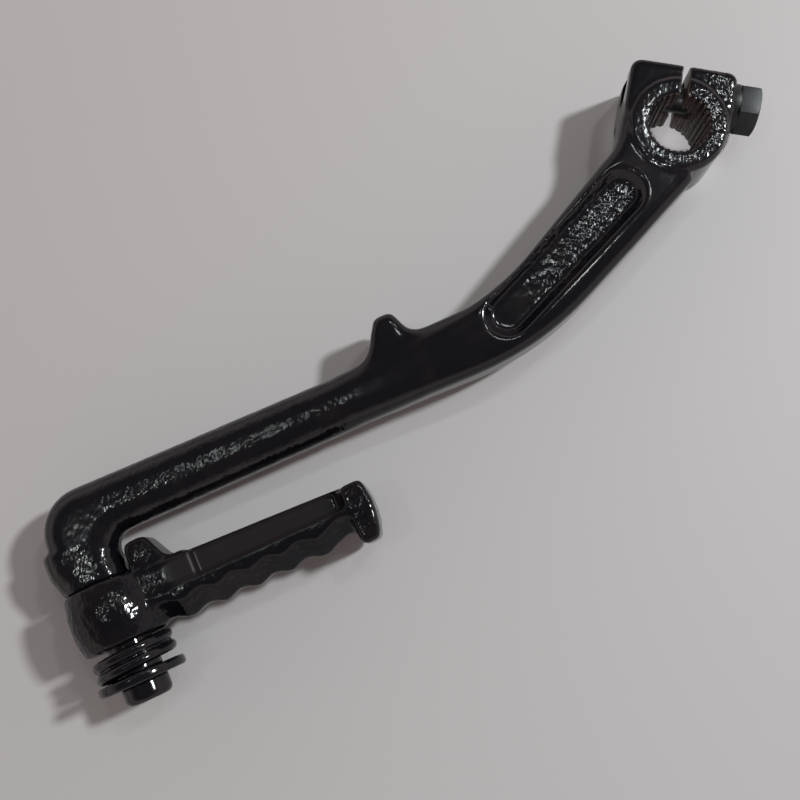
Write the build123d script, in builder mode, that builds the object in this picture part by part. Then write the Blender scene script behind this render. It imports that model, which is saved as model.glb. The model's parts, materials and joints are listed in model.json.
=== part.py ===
"""Kick start lever: a forged arm clamped on a splined shaft, with a spring-loaded folding foot pedal.

The frame is the splined bore's: the origin is the middle of the bore on its engine side, +Z runs out along
the shaft, and +X runs along the arm's lower bar towards the bore. The pedal's pivot is parallel to Y.
"""

import os
from math import cos, pi, radians, sin, tan

from build123d import *

os.makedirs("parts", exist_ok=True)

# Splined boss on the kick shaft
BORE_TIP_R = 7.5
SPLINE_DEPTH = 0.45
SPLINE_COUNT = 30
SPLINE_SHARE = 0.54
BORE_CHAMFER = 0.2
BOSS_HEIGHT = 20.0
RING_WIDTH = 4.0
RING_STEP = 0.7
BOSS_MARGIN = 0.7
BOSS_EDGE = 1.3

# Clamp ears on both sides of the slit
SLIT_TURN = 55.2
SLIT_WIDTH = 1.8
EAR_THREAD_SIDE = 14.0
EAR_HEAD_SIDE = 13.1
EAR_ROOT = 3.2
EAR_ROOF = 5.2
EAR_CORNER = 2.6

# Pinch bolt and its spring lock washer
BOLT_R = 4.0
BOLT_WAIST_R = 3.2
BOLT_WAIST_CLEARANCE = 0.1
BOLT_WAIST_HALF = 3.6
BOLT_HOLE_CLEARANCE = 0.3
THREAD_CLEARANCE = 0.05
THREAD_LENGTH = 7.5
THREAD_CHAMFER = 0.8
HEX_ACROSS_FLATS = 12.0
HEX_HEIGHT = 5.0
HEX_CHAMFER_TURN = 30.0
LOCK_WASHER_CLEARANCE = 0.2
LOCK_WASHER_WIDTH = 2.0
LOCK_WASHER_THICKNESS = 2.2
LOCK_WASHER_SPLIT = 1.2
LOCK_WASHER_SKEW = 30.0

# Round lower bar of the arm
BAR_DEPTH = 13.2
BAR_EDGE = 6.0
BAR_HEAD_WIDTH = 15.1
BAR_NECK_WIDTH = 14.0
BAR_HEAD_Y = -28.05
BAR_NECK_Y = -28.9
NECK_X = -106.0

# Flat elbow and pocketed shank up to the boss
ELBOW_X = -57.0
ELBOW_RADIUS = 70.0
SHANK_OFFSET_Y = -1.8
SHANK_TURN = 25.0
SHANK_WIDTH = 20.4
SHANK_DEPTH = 14.8
SHANK_EDGE = 3.3
SHANK_SWELL = 1.5
SHANK_SECTIONS = 12
FLARE_RADIUS = 14.0
FLARE_SWEEP = 30.0
FLARE_SINK = 1.2
POCKET_TURN = 22.8
POCKET_START_X = -59.5
POCKET_START_Y = -26.2
POCKET_LENGTH = 42.0
POCKET_FLOOR_WIDTH = 7.6
POCKET_DEPTH = 2.8
POCKET_TAPER = 42.0
POCKET_OVERRUN = 1.0

# Stop nub on the upper edge of the bar
NUB_X = -88.0
NUB_RISE = 8.9
NUB_TOP_WIDTH = 4.6
NUB_HEAD_FOOT = 7.6
NUB_HEAD_FOOT_RISE = 1.0
NUB_BOSS_FOOT = 5.0
NUB_BOSS_FOOT_RISE = 1.9
NUB_DEPTH = 11.6
NUB_EDGE = 2.2
NUB_CORNER = 2.2
NUB_HEAD_SWEEP = 5.0
NUB_BOSS_SWEEP = 16.0
NUB_FOOT_RADIUS = 4.5

# Head with the pivot's seat and the stop lobe
PIVOT_X = -177.2
JOINT_Y = -45.3
HEAD_CORNER = 11.3
HEAD_OUTER = 10.1
HEAD_INNER = 6.2
HEAD_INNER_RADIUS = 4.0
LOBE_R = 6.9
LOBE_OFFSET = 5.5
LOBE_HEIGHT = 11.9
LOBE_EDGE = 1.6
LOBE_TAPER = 1.9
LOBE_TAPER_LENGTH = 6.0
LOBE_WAIST_RADIUS = 8.0

# Pivot pin, spring and end washer
PIN_R = 5.6
PIN_SPIGOT_R = 4.0
PIN_SPIGOT_LENGTH = 9.0
PIN_HOLE_RELIEF = 0.5
PIN_HEAD_R = 5.8
PIN_HEAD_LENGTH = 4.6
PIN_HEAD_EDGE = 1.6
WASHER_R = 10.8
WASHER_THICKNESS = 2.4
WASHER_EDGE = 0.7
WASHER_CLEARANCE = 0.15
SPRING_SPACE = 7.4
SPRING_MEAN_R = 8.9
SPRING_WIRE_R = 1.3
SPRING_GRIND = 0.5
SPRING_TURNS = 2.0
RUNNING_CLEARANCE = 0.05
FACE_GAP = 0.15

# Foot pedal: barrel hub, lug, neck, web, scalloped tread and end flange
HUB_R = 11.8
HUB_END_R = 10.6
HUB_LENGTH = 15.6
HUB_EDGE = 1.0
LUG_CLEARANCE = 1.6
LUG_WIDTH = 5.8
LUG_RISE = 6.7
LUG_DEPTH = 11.0
LUG_CORNER = 1.8
LUG_RIM = 1.4
LUG_SLOPE = 3.6
LUG_FOOT = 4.0
LUG_FOOT_RADIUS = 3.0
PEDAL_LENGTH = 68.6
PEDAL_TOP_Y = -45.9
PEDAL_FALL = 2.2
NECK_LENGTH = 23.2
NECK_DEPTH = 13.0
NECK_EDGE = 1.4
WEB_DEPTH = 7.4
WEB_EDGE = 1.5
TREAD_Y = -61.0
TREAD_BACK_Y = -53.2
TREAD_DEPTH = 14.0
TREAD_NOSE = 3.4
TREAD_FLANK = 4.8
WAVE_HEIGHT = 1.3
WAVE_COUNT = 5
WAVE_START = 17.7
WAVE_END = 8.8
FLANGE_LENGTH = 6.8
FLANGE_DEPTH = 14.8
FLANGE_DROP = 2.5
FLANGE_CROWN = 1.0
FLANGE_EDGE = 1.6
FLANGE_RIM = 1.4
FLANGE_RAMP = 3.2

# Smallest distance that tells two places apart
TOUCH = 0.01

# Heights and places worked out from the sizes above
mid_z = HUB_R
bore_root_r = BORE_TIP_R + SPLINE_DEPTH
ring_r = bore_root_r + RING_WIDTH
boss_r = ring_r + BOSS_MARGIN
bolt_offset = BORE_TIP_R + BOLT_WAIST_CLEARANCE + BOLT_WAIST_R
ear_top = bolt_offset + EAR_ROOF
bolt_seat = EAR_HEAD_SIDE + LOCK_WASHER_THICKNESS
hub_face_y = JOINT_Y - FACE_GAP
hub_foot_y = hub_face_y - HUB_LENGTH
spring_top_y = hub_foot_y - FACE_GAP
washer_face_y = spring_top_y - SPRING_SPACE
pin_head_y = washer_face_y - WASHER_THICKNESS
pin_end_y = pin_head_y - PIN_HEAD_LENGTH
hub_bore_r = PIN_R + RUNNING_CLEARANCE
lug_x = PIVOT_X + HEAD_INNER + LUG_CLEARANCE
lug_top_y = JOINT_Y + LUG_RISE
neck_end_x = PIVOT_X + NECK_LENGTH
pedal_root_x = PIVOT_X + (hub_bore_r + HUB_R) / 2
pedal_tip_x = PIVOT_X + PEDAL_LENGTH
flange_x = pedal_tip_x - FLANGE_LENGTH
flange_top_y = PEDAL_TOP_Y - PEDAL_FALL
flange_foot_y = TREAD_Y - FLANGE_DROP
web_end_x = flange_x + FLANGE_LENGTH / 2
wave_start_x = PIVOT_X + WAVE_START
wave_pitch = (web_end_x - WAVE_END - wave_start_x) / (WAVE_COUNT - 1 / 2)

mid_plane = Plane.XY.offset(mid_z)
pivot_plane = Plane(origin=(PIVOT_X, 0, mid_z), x_dir=(1, 0, 0), z_dir=(0, 0, 1))
pivot_axis = Axis((PIVOT_X, 0, mid_z), (0, 1, 0))
clamp_turn = radians(SLIT_TURN - 90)
clamp_plane = Plane(origin=(0, 0, 0), x_dir=(cos(clamp_turn), sin(clamp_turn), 0), z_dir=(0, 0, 1))
bolt_middle = clamp_plane.from_local_coords((0, bolt_offset, BOSS_HEIGHT / 2))
bolt_plane = Plane(origin=bolt_middle, x_dir=(0, 0, 1), z_dir=clamp_plane.x_dir)
bolt_axis = Axis(bolt_middle, clamp_plane.x_dir)


def rim_edges(plate, keep):
    """The edges round the lowest and highest faces of a plate whose middle point passes the test."""
    levels = plate.edges().group_by(Axis.Z)
    return [edge for edge in levels[0] + levels[-1] if keep(edge.center())]


# Round bar from the elbow's neck to the head, which turns down to the pivot
head_outer_x = PIVOT_X - HEAD_OUTER
head_inner_x = PIVOT_X + HEAD_INNER
bar_top_y = BAR_HEAD_Y + BAR_HEAD_WIDTH / 2
bar_low_y = BAR_HEAD_Y - BAR_HEAD_WIDTH / 2
corner_foot = (head_outer_x, bar_top_y - HEAD_CORNER)
corner_top = (head_outer_x + HEAD_CORNER, bar_top_y)
inside_foot = (head_inner_x, bar_low_y - HEAD_INNER_RADIUS)
inside_top = (head_inner_x + HEAD_INNER_RADIUS, bar_low_y)
with BuildPart() as bar:
    with BuildSketch(mid_plane.offset(-BAR_DEPTH / 2)):
        with BuildLine():
            Polyline(corner_foot, (head_outer_x, JOINT_Y), (head_inner_x, JOINT_Y), inside_foot)
            RadiusArc(inside_foot, inside_top, HEAD_INNER_RADIUS)
            Polyline(
                inside_top,
                (NECK_X, BAR_NECK_Y - BAR_NECK_WIDTH / 2),
                (NECK_X, BAR_NECK_Y + BAR_NECK_WIDTH / 2),
                corner_top,
            )
            RadiusArc(corner_top, corner_foot, -HEAD_CORNER)
        make_face()
    extrude(amount=BAR_DEPTH)
    fillet(rim_edges(bar, lambda c: c.X < NECK_X - TOUCH and c.Y > JOINT_Y + TOUCH), BAR_EDGE)

# Stop lobe beside the pivot's seat
lobe_x = PIVOT_X - LOBE_OFFSET
lobe_top_y = JOINT_Y + LOBE_HEIGHT
lobe_waist_y = JOINT_Y + LOBE_TAPER_LENGTH
with BuildPart() as lobe:
    with BuildSketch(Plane(origin=(lobe_x, 0, mid_z), x_dir=(1, 0, 0), z_dir=(0, 0, 1))):
        with BuildLine():
            FilletPolyline(
                (0, JOINT_Y),
                (LOBE_R - LOBE_TAPER, JOINT_Y),
                (LOBE_R, lobe_waist_y),
                (LOBE_R, lobe_top_y),
                (0, lobe_top_y),
                radius=(0, LOBE_WAIST_RADIUS, LOBE_EDGE),
            )
            Line((0, lobe_top_y), (0, JOINT_Y))
        make_face()
    revolve(axis=Axis((lobe_x, 0, mid_z), (0, 1, 0)))

# Elbow and shank: rounded sections blended along a bent centre line up to the boss
with BuildLine() as centre_line:
    FilletPolyline(
        (NECK_X, BAR_NECK_Y, mid_z),
        (ELBOW_X, SHANK_OFFSET_Y + ELBOW_X * tan(radians(SHANK_TURN)), mid_z),
        (0, SHANK_OFFSET_Y, mid_z),
        radius=ELBOW_RADIUS,
    )
shank_line = centre_line.wire()
shank_share = 1 - BORE_TIP_R / shank_line.length
with BuildPart() as shank:
    add(bar.faces().sort_by(Axis.X)[-1])
    for number in range(1, SHANK_SECTIONS + 1):
        share = shank_share * number / SHANK_SECTIONS
        growth = sin(share * pi / 2) ** SHANK_SWELL
        flattening = sin(min(1, 2 * share) * pi / 2)
        along = shank_line % share
        with BuildSketch(Plane(origin=shank_line @ share, x_dir=(-along.Y, along.X, 0), z_dir=along)):
            RectangleRounded(
                BAR_NECK_WIDTH + (SHANK_WIDTH - BAR_NECK_WIDTH) * growth,
                BAR_DEPTH + (SHANK_DEPTH - BAR_DEPTH) * flattening,
                BAR_EDGE + (SHANK_EDGE - BAR_EDGE) * flattening,
            )
    loft()

# Stop nub, with swept feet along the bar
nub_foot_y = BAR_NECK_Y + BAR_NECK_WIDTH / 2
nub_head_x = NUB_X - NUB_HEAD_FOOT
nub_boss_x = NUB_X + NUB_BOSS_FOOT
with BuildPart() as nub:
    with BuildSketch(mid_plane.offset(-NUB_DEPTH / 2)):
        with BuildLine():
            FilletPolyline(
                (nub_head_x - NUB_HEAD_SWEEP, BAR_NECK_Y),
                (nub_head_x - NUB_HEAD_SWEEP, nub_foot_y - NUB_EDGE / 2),
                (nub_head_x, nub_foot_y + NUB_HEAD_FOOT_RISE),
                (NUB_X - NUB_TOP_WIDTH / 2, nub_foot_y + NUB_RISE),
                (NUB_X + NUB_TOP_WIDTH / 2, nub_foot_y + NUB_RISE),
                (nub_boss_x, nub_foot_y + NUB_BOSS_FOOT_RISE),
                (nub_boss_x + NUB_BOSS_SWEEP, nub_foot_y + NUB_BOSS_FOOT_RISE),
                (nub_boss_x + NUB_BOSS_SWEEP, BAR_NECK_Y),
                radius=(0, NUB_FOOT_RADIUS, NUB_CORNER, NUB_CORNER, NUB_FOOT_RADIUS, 0),
            )
            Line((nub_boss_x + NUB_BOSS_SWEEP, BAR_NECK_Y), (nub_head_x - NUB_HEAD_SWEEP, BAR_NECK_Y))
        make_face()
    extrude(amount=NUB_DEPTH)
    fillet(rim_edges(nub, lambda c: c.Y > nub_foot_y), NUB_EDGE)

# Boss body with its two clamp ears
with BuildPart() as boss:
    with BuildSketch(clamp_plane.offset(RING_STEP)) as boss_outline:
        Circle(boss_r)
        with Locations(((EAR_HEAD_SIDE - EAR_THREAD_SIDE) / 2, (EAR_ROOT + ear_top) / 2)):
            Rectangle(EAR_HEAD_SIDE + EAR_THREAD_SIDE, ear_top - EAR_ROOT)
        make_hull()
        fillet(boss_outline.vertices().group_by(Axis.Y)[-1], EAR_CORNER)
    extrude(amount=BOSS_HEIGHT - 2 * RING_STEP)
    fillet(rim_edges(boss, lambda c: True), BOSS_EDGE)

# Flare that carries the shank's upper edge into the threaded ear
shank_direction = Vector(cos(radians(SHANK_TURN)), sin(radians(SHANK_TURN)))
shank_half = shank_direction.rotate(Axis.Z, 90) * (SHANK_WIDTH / 2)
shank_end = Vector(0, SHANK_OFFSET_Y)
ear_foot = clamp_plane.from_local_coords((-EAR_THREAD_SIDE, 0, 0))
flare_corner = Axis(shank_end + shank_half, shank_direction).intersect(Axis(ear_foot, clamp_plane.y_dir))
flare_start = flare_corner - shank_direction * FLARE_SWEEP - shank_half.normalized() * FLARE_SINK
flare_end = flare_corner + clamp_plane.y_dir * FLARE_RADIUS
with BuildPart() as flare:
    with BuildSketch(mid_plane.offset(-SHANK_DEPTH / 2)):
        with BuildLine():
            FilletPolyline(flare_start, flare_corner, flare_end, radius=FLARE_RADIUS)
            Polyline(flare_end, shank_end, flare_start - shank_half, flare_start)
        make_face()
    extrude(amount=SHANK_DEPTH)
    rims = rim_edges(flare, lambda c: True)
    outer_rims = [edge for edge in rims if edge.distance_to(shank_line) > SHANK_DEPTH / 2 + TOUCH]
    fillet(outer_rims, SHANK_EDGE)

with BuildPart() as kick_arm:
    add(bar.part)
    add(lobe.part)
    add(shank.part)
    add(nub.part)
    add(boss.part)
    add(flare.part)
    with BuildSketch(Plane.XY):
        Circle(ring_r)
    extrude(amount=BOSS_HEIGHT)
    # Tapered pocket in both faces of the shank
    pocket_run = Vector(cos(radians(POCKET_TURN)), sin(radians(POCKET_TURN)))
    pocket_middle = Vector(POCKET_START_X, POCKET_START_Y, mid_z) + pocket_run * (POCKET_LENGTH / 2)
    for side in (1, -1):
        pocket_floor = pocket_middle + Vector(0, 0, side * (SHANK_DEPTH / 2 - POCKET_DEPTH))
        with BuildSketch(Plane(origin=pocket_floor, x_dir=pocket_run, z_dir=(0, 0, side))):
            SlotCenterToCenter(POCKET_LENGTH, POCKET_FLOOR_WIDTH)
        extrude(amount=POCKET_DEPTH + POCKET_OVERRUN, taper=-POCKET_TAPER, mode=Mode.SUBTRACT)
    # Splined bore, with a lead-in at both ends
    groove = 2 * pi * BORE_TIP_R / SPLINE_COUNT * (1 - SPLINE_SHARE)
    with BuildSketch(Plane.XY):
        Circle(BORE_TIP_R)
        with PolarLocations(BORE_TIP_R, SPLINE_COUNT):
            Rectangle(2 * SPLINE_DEPTH, groove)
    extrude(amount=BOSS_HEIGHT, mode=Mode.SUBTRACT)
    with Locations((0, 0, BORE_CHAMFER / 2)):
        Cone(bore_root_r + BORE_CHAMFER, bore_root_r, BORE_CHAMFER, mode=Mode.SUBTRACT)
    with Locations((0, 0, BOSS_HEIGHT - BORE_CHAMFER / 2)):
        Cone(bore_root_r, bore_root_r + BORE_CHAMFER, BORE_CHAMFER, mode=Mode.SUBTRACT)
    # Slit through the ring, between the ears
    with BuildSketch(clamp_plane):
        with Locations((0, ear_top / 2 + SLIT_WIDTH)):
            Rectangle(SLIT_WIDTH, ear_top + 2 * SLIT_WIDTH)
    extrude(amount=BOSS_HEIGHT, mode=Mode.SUBTRACT)
    # Threaded hole in one ear and clearance hole in the other
    with BuildSketch(bolt_plane):
        Circle(BOLT_R)
    extrude(amount=-2 * EAR_THREAD_SIDE, mode=Mode.SUBTRACT)
    with BuildSketch(bolt_plane):
        Circle(BOLT_R + BOLT_HOLE_CLEARANCE)
    extrude(amount=2 * EAR_HEAD_SIDE, mode=Mode.SUBTRACT)
    # Blind seat of the pivot pin
    with BuildSketch(Plane(origin=(PIVOT_X, JOINT_Y, mid_z), x_dir=(1, 0, 0), z_dir=(0, 1, 0))):
        Circle(PIN_SPIGOT_R)
    extrude(amount=PIN_SPIGOT_LENGTH + PIN_HOLE_RELIEF, mode=Mode.SUBTRACT)
kick_arm.part.label = "kick_arm"
export_step(kick_arm.part, "parts/kick_arm.step")

# Barrel hub of the pedal, on the pivot pin
with BuildPart() as hub:
    with BuildSketch(pivot_plane) as hub_half:
        with BuildLine():
            Polyline(
                (HUB_END_R, hub_foot_y),
                (hub_bore_r, hub_foot_y),
                (hub_bore_r, hub_face_y),
                (HUB_END_R, hub_face_y),
            )
            ThreePointArc(
                (HUB_END_R, hub_face_y),
                (HUB_R, (hub_face_y + hub_foot_y) / 2),
                (HUB_END_R, hub_foot_y),
            )
        make_face()
        fillet(hub_half.vertices().group_by(Axis.X)[-1], HUB_EDGE)
    revolve(axis=pivot_axis)

# Lug that swings round the head and comes to rest on the lobe when the pedal is out
lug_side_x = lug_x + LUG_WIDTH
lug_root_y = PEDAL_TOP_Y - LUG_RISE / 2
lug_end_x = lug_side_x + LUG_SLOPE + LUG_FOOT
with BuildPart() as lug:
    with BuildSketch(mid_plane.offset(-LUG_DEPTH / 2)):
        with BuildLine():
            FilletPolyline(
                (lug_x, lug_root_y),
                (lug_x, lug_top_y),
                (lug_side_x, lug_top_y),
                (lug_side_x + LUG_SLOPE, PEDAL_TOP_Y),
                (lug_end_x, PEDAL_TOP_Y),
                (lug_end_x, lug_root_y),
                radius=(LUG_CORNER, LUG_CORNER, LUG_FOOT_RADIUS, 0),
            )
            Line((lug_end_x, lug_root_y), (lug_x, lug_root_y))
        make_face()
    extrude(amount=LUG_DEPTH)
    fillet(rim_edges(lug, lambda c: c.Y > lug_root_y + TOUCH and c.X < lug_end_x - TOUCH), LUG_RIM)

# Neck from the hub to the web's recess
neck_top_y = PEDAL_TOP_Y - PEDAL_FALL * NECK_LENGTH / PEDAL_LENGTH
neck_low_y = TREAD_BACK_Y - NECK_EDGE
with BuildPart() as neck:
    with BuildSketch(mid_plane.offset(-NECK_DEPTH / 2)):
        with BuildLine():
            Polyline(
                (pedal_root_x, PEDAL_TOP_Y),
                (neck_end_x, neck_top_y),
                (neck_end_x, neck_low_y),
                (pedal_root_x, neck_low_y),
                close=True,
            )
        make_face()
    extrude(amount=NECK_DEPTH)
    fillet(rim_edges(neck, lambda c: c.Y > neck_low_y + TOUCH and c.X > pedal_root_x + TOUCH), NECK_EDGE)

# Thin web behind the tread
with BuildPart() as web:
    with BuildSketch(mid_plane.offset(-WEB_DEPTH / 2)):
        with BuildLine():
            Polyline(
                (pedal_root_x, PEDAL_TOP_Y),
                (web_end_x, flange_top_y),
                (web_end_x, TREAD_BACK_Y - WEB_EDGE),
                (pedal_root_x, TREAD_BACK_Y - WEB_EDGE),
                close=True,
            )
        make_face()
    extrude(amount=WEB_DEPTH)
    fillet(rim_edges(web, lambda c: c.Y > flange_top_y), WEB_EDGE)

# Scalloped tread: a waved nose with slanted flanks, the same above and below the middle plane
with BuildPart() as tread:
    for side in (1, -1):
        for height, set_back in ((0, 0), (TREAD_NOSE / 2, 0), (TREAD_DEPTH / 2, TREAD_FLANK)):
            nose_y = TREAD_Y + set_back
            wave = [(pedal_root_x, nose_y)]
            for half in range(-1, 2 * WAVE_COUNT):
                wave_y = nose_y + WAVE_HEIGHT * (half % 2 - 1 / 2)
                wave.append((wave_start_x + half * wave_pitch / 2, wave_y))
            wave.append((web_end_x, nose_y - WAVE_HEIGHT))
            with BuildSketch(mid_plane.offset(side * height)):
                with BuildLine():
                    Spline(*wave)
                    Polyline(wave[-1], (web_end_x, TREAD_BACK_Y), (pedal_root_x, TREAD_BACK_Y), wave[0])
                make_face()
        loft(ruled=True)

# End flange with a crowned tip and a ramp down to the web
with BuildPart() as flange:
    with BuildSketch(mid_plane.offset(-FLANGE_DEPTH / 2)) as flange_outline:
        with BuildLine():
            Polyline(
                (pedal_tip_x - FLANGE_CROWN, flange_top_y),
                (flange_x, flange_top_y),
                (flange_x, flange_foot_y),
                (pedal_tip_x - 2 * FLANGE_CROWN, flange_foot_y),
            )
            ThreePointArc(
                (pedal_tip_x - 2 * FLANGE_CROWN, flange_foot_y),
                (pedal_tip_x, (flange_top_y + flange_foot_y) / 2),
                (pedal_tip_x - FLANGE_CROWN, flange_top_y),
            )
        make_face()
        fillet(flange_outline.vertices(), FLANGE_EDGE)
    extrude(amount=FLANGE_DEPTH)
    fillet(rim_edges(flange, lambda c: True), FLANGE_RIM)

# Ramp on the flange's inner side
ramp_top_y = flange_top_y - FLANGE_EDGE / 2
with BuildPart() as ramp:
    with BuildSketch(Plane.XZ.offset(-ramp_top_y)):
        with BuildLine():
            Polyline(
                (web_end_x, mid_z - FLANGE_DEPTH / 2 + FLANGE_RIM),
                (flange_x, mid_z - FLANGE_DEPTH / 2 + FLANGE_RIM),
                (flange_x - FLANGE_RAMP, mid_z - WEB_DEPTH / 2 + WEB_EDGE),
                (flange_x - FLANGE_RAMP, mid_z + WEB_DEPTH / 2 - WEB_EDGE),
                (flange_x, mid_z + FLANGE_DEPTH / 2 - FLANGE_RIM),
                (web_end_x, mid_z + FLANGE_DEPTH / 2 - FLANGE_RIM),
                close=True,
            )
        make_face()
    extrude(amount=ramp_top_y - TREAD_BACK_Y)

with BuildPart() as foot_pedal:
    add(hub.part)
    add(lug.part)
    add(neck.part)
    add(web.part)
    add(tread.part)
    add(flange.part)
    add(ramp.part)
foot_pedal.part.label = "foot_pedal"
export_step(foot_pedal.part, "parts/foot_pedal.step")

# Pivot pin: pressed spigot, bearing, neck through the washer and upset end
with BuildPart() as pivot_pin:
    with BuildSketch(pivot_plane):
        with BuildLine():
            FilletPolyline(
                (0, JOINT_Y + PIN_SPIGOT_LENGTH),
                (PIN_SPIGOT_R, JOINT_Y + PIN_SPIGOT_LENGTH),
                (PIN_SPIGOT_R, JOINT_Y),
                (PIN_R, JOINT_Y),
                (PIN_R, washer_face_y),
                (PIN_SPIGOT_R, washer_face_y),
                (PIN_SPIGOT_R, pin_head_y),
                (PIN_HEAD_R, pin_head_y),
                (PIN_HEAD_R, pin_end_y),
                (0, pin_end_y),
                radius=(0, 0, 0, 0, 0, 0, 0, PIN_HEAD_EDGE),
            )
            Line((0, pin_end_y), (0, JOINT_Y + PIN_SPIGOT_LENGTH))
        make_face()
    revolve(axis=pivot_axis)
pivot_pin.part.label = "pivot_pin"
export_step(pivot_pin.part, "parts/pivot_pin.step")

# End washer, held between the pin's bearing and its upset end
washer_bore_r = PIN_SPIGOT_R + WASHER_CLEARANCE
with BuildPart() as end_washer:
    with BuildSketch(pivot_plane):
        with BuildLine():
            FilletPolyline(
                (washer_bore_r, washer_face_y),
                (WASHER_R, washer_face_y),
                (WASHER_R, pin_head_y),
                (washer_bore_r, pin_head_y),
                radius=WASHER_EDGE,
            )
            Line((washer_bore_r, pin_head_y), (washer_bore_r, washer_face_y))
        make_face()
    revolve(axis=pivot_axis)
end_washer.part.label = "end_washer"
export_step(end_washer.part, "parts/end_washer.step")

# Pedal spring: open coils, ground flat where they bear on the hub and the washer
coil_height = SPRING_SPACE - 2 * (SPRING_WIRE_R - SPRING_GRIND)
coil_pitch = coil_height / SPRING_TURNS
coil_start = (PIVOT_X, spring_top_y - SPRING_WIRE_R + SPRING_GRIND, mid_z)
with BuildPart() as pedal_spring:
    with BuildLine() as coil:
        Helix(coil_pitch, coil_height, SPRING_MEAN_R, center=coil_start, direction=(0, -1, 0))
    with BuildSketch(Plane(origin=coil.line @ 0, z_dir=coil.line % 0)):
        Circle(SPRING_WIRE_R)
    sweep(is_frenet=True)
    with BuildSketch(Plane(origin=(PIVOT_X, spring_top_y, mid_z), x_dir=(1, 0, 0), z_dir=(0, -1, 0))):
        Circle(SPRING_MEAN_R + 2 * SPRING_WIRE_R)
    extrude(amount=SPRING_SPACE, mode=Mode.INTERSECT)
pedal_spring.part.label = "pedal_spring"
export_step(pedal_spring.part, "parts/pedal_spring.step")

# Pinch bolt: chamfered hexagon head, shank waisted past the splined shaft, and thread
hex_flat_r = HEX_ACROSS_FLATS / 2
hex_cone_r = hex_flat_r + HEX_HEIGHT / tan(radians(HEX_CHAMFER_TURN))
with BuildPart() as pinch_bolt:
    with BuildSketch(bolt_plane.offset(bolt_seat)):
        RegularPolygon(hex_flat_r, 6, major_radius=False, rotation=30)
    extrude(amount=HEX_HEIGHT)
    with Locations(bolt_plane.offset(bolt_seat + HEX_HEIGHT / 2)):
        Cone(hex_cone_r, hex_flat_r, HEX_HEIGHT, mode=Mode.INTERSECT)
    with BuildSketch(bolt_plane.offset(BOLT_WAIST_HALF)):
        Circle(BOLT_R)
    extrude(amount=bolt_seat - BOLT_WAIST_HALF)
    with BuildSketch(bolt_plane.offset(-BOLT_WAIST_HALF)):
        Circle(BOLT_WAIST_R)
    extrude(amount=2 * BOLT_WAIST_HALF)
    with BuildSketch(bolt_plane.offset(-BOLT_WAIST_HALF)):
        Circle(BOLT_R - THREAD_CLEARANCE)
    extrude(amount=-THREAD_LENGTH)
    chamfer(pinch_bolt.edges().sort_by(bolt_axis)[0], THREAD_CHAMFER)
pinch_bolt.part.label = "pinch_bolt"
export_step(pinch_bolt.part, "parts/pinch_bolt.step")

# Spring lock washer under the bolt's head, with a skewed split on its engine side
washer_hole_r = BOLT_R + LOCK_WASHER_CLEARANCE
washer_rim_r = washer_hole_r + LOCK_WASHER_WIDTH
split_middle = bolt_middle + clamp_plane.x_dir * (EAR_HEAD_SIDE + LOCK_WASHER_THICKNESS / 2)
with BuildPart() as lock_washer:
    with BuildSketch(bolt_plane.offset(EAR_HEAD_SIDE)):
        Circle(washer_rim_r)
        Circle(washer_hole_r, mode=Mode.SUBTRACT)
    extrude(amount=LOCK_WASHER_THICKNESS)
    with BuildSketch(Plane(origin=split_middle, x_dir=clamp_plane.y_dir, z_dir=(0, 0, -1))):
        Rectangle(LOCK_WASHER_SPLIT, 2 * LOCK_WASHER_THICKNESS, rotation=LOCK_WASHER_SKEW)
    extrude(amount=2 * washer_rim_r, mode=Mode.SUBTRACT)
lock_washer.part.label = "lock_washer"
export_step(lock_washer.part, "parts/lock_washer.step")
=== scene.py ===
"""Kick start lever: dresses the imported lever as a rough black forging, and sets its studio stage."""

import json
from math import atan2, cos, pi, radians, sin

import bpy
import numpy as np
from bpy.props import FloatProperty, FloatVectorProperty, IntProperty, PointerProperty
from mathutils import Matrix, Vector


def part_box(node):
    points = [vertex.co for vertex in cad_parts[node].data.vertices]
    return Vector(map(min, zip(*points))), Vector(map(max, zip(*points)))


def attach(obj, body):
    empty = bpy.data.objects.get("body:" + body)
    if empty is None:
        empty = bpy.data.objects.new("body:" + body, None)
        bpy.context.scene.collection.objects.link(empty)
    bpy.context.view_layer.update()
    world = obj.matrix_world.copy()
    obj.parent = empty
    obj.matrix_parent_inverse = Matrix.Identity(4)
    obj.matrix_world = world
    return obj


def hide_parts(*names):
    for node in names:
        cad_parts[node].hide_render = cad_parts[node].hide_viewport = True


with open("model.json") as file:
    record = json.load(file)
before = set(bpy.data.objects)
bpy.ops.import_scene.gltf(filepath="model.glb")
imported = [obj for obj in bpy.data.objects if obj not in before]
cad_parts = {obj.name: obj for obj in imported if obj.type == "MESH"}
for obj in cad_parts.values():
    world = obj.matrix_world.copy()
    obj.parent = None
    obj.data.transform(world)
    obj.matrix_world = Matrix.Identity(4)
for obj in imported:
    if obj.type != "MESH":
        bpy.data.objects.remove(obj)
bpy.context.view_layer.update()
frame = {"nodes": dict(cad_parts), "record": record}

bl_info = {
    "name": "Kick Start Lever",
    "version": (1, 0, 0),
    "blender": (4, 5, 0),
    "location": "View3D > Sidebar > Kick Lever",
    "description": "Dresses a packed kick start lever as a painted forging and sets its stage",
    "category": "Object",
}

# Lengths on the lever are written in millimetres, and MM turns them into Blender's metres
MM = 0.001
UP = Vector((0, 0, 1))

# The bore's radius and length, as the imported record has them
BORE = frame["record"]["mounts"][0]["dims"]

# How round, merged and smooth the meshes are
ROUND_SIDES = 96
MERGE_DISTANCE = 0.001
SMOOTH_ANGLE = radians(40)
SMOOTH_FACTOR = 0.5


def size(name, description, default):
    """A length that a user may change, from its default in millimetres."""
    return FloatProperty(
        name=name, description=description, default=default * MM, unit="LENGTH", precision=5
    )


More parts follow.
